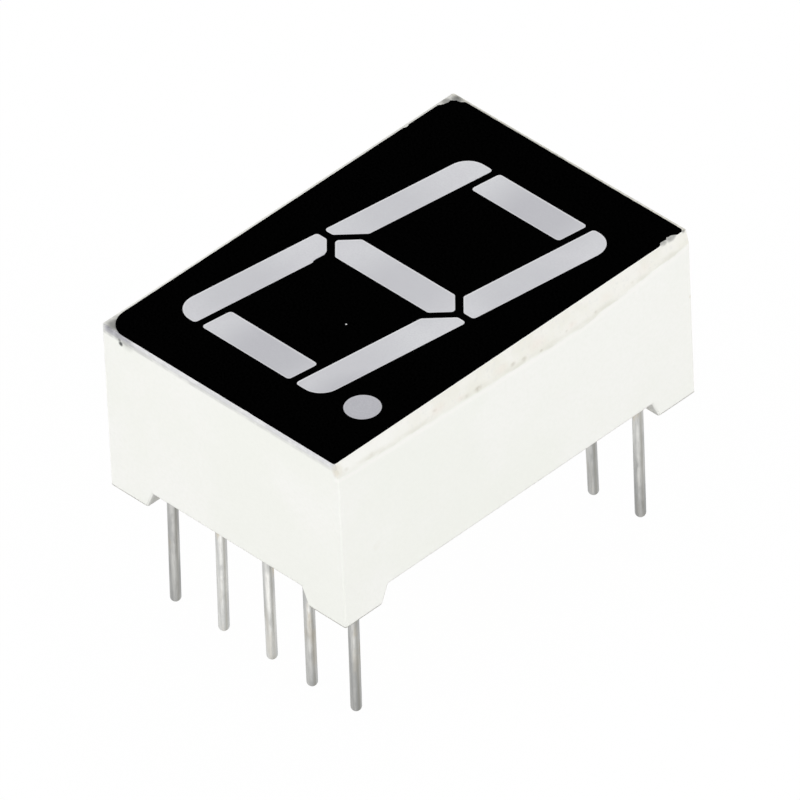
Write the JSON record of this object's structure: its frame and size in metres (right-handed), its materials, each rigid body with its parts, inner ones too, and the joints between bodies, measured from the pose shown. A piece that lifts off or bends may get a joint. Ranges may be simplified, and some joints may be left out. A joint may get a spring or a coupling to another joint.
{
  "type": "seven segment display",
  "caption": "Slanted segment digit display with a decimal point: black face on a white moulded housing with corner feet, and rows of round leads for a circuit board.",
  "frame": {"origin": "middle of the lead grid, on the plane of the feet's soles, where the circuit board's surface is when the display is fitted", "axes": "+X to the digit's right, +Y to the digit's top along the housing's length, +Z out of the face; the leads point along -Z"},
  "size_m": [0.0126, 0.019, 0.0143],
  "materials": {
    "housing": "satin warm white, filled with white pigment to reflect",
    "face_film": "matt black",
    "diffuser": "matt, milky pale grey",
    "board": "glass and resin laminate",
    "potting": "cast resin, slightly glossy",
    "copper": "etched copper",
    "chip": "cut crystal",
    "gold": "drawn gold wire",
    "tinned_lead": "dull tin plate with fine drawing lines",
    "solder": "smooth solder"
  },
  "bodies": {
    "root": {"housing": "housing", "face_film": "face_film", "circuit_board": "board", "potting": "potting", "track_common": "copper", "track_a": "copper", "track_b": "copper", "track_c": "copper", "track_d": "copper", "track_e": "copper", "track_f": "copper", "track_g": "copper", "track_dp": "copper", "diffuser_a": "diffuser", "diffuser_b": "diffuser", "diffuser_c": "diffuser", "diffuser_d": "diffuser", "diffuser_e": "diffuser", "diffuser_f": "diffuser", "diffuser_g": "diffuser", "diffuser_dp": "diffuser", "led_chip_a": "chip", "led_chip_b": "chip", "led_chip_c": "chip", "led_chip_d": "chip", "led_chip_e": "chip", "led_chip_f": "chip", "led_chip_g": "chip", "led_chip_dp": "chip", "bond_wire_a": "gold", "bond_wire_b": "gold", "bond_wire_c": "gold", "bond_wire_d": "gold", "bond_wire_e": "gold", "bond_wire_f": "gold", "bond_wire_g": "gold", "bond_wire_dp": "gold", "lead_1": "tinned_lead", "lead_2": "tinned_lead", "lead_3": "tinned_lead", "lead_4": "tinned_lead", "lead_5": "tinned_lead", "lead_6": "tinned_lead", "lead_7": "tinned_lead", "lead_8": "tinned_lead", "lead_9": "tinned_lead", "lead_10": "tinned_lead", "solder_joint_1": "solder", "solder_joint_2": "solder", "solder_joint_3": "solder", "solder_joint_4": "solder", "solder_joint_5": "solder", "solder_joint_6": "solder", "solder_joint_7": "solder", "solder_joint_8": "solder", "solder_joint_9": "solder", "solder_joint_10": "solder"}
  },
  "joints": []
}
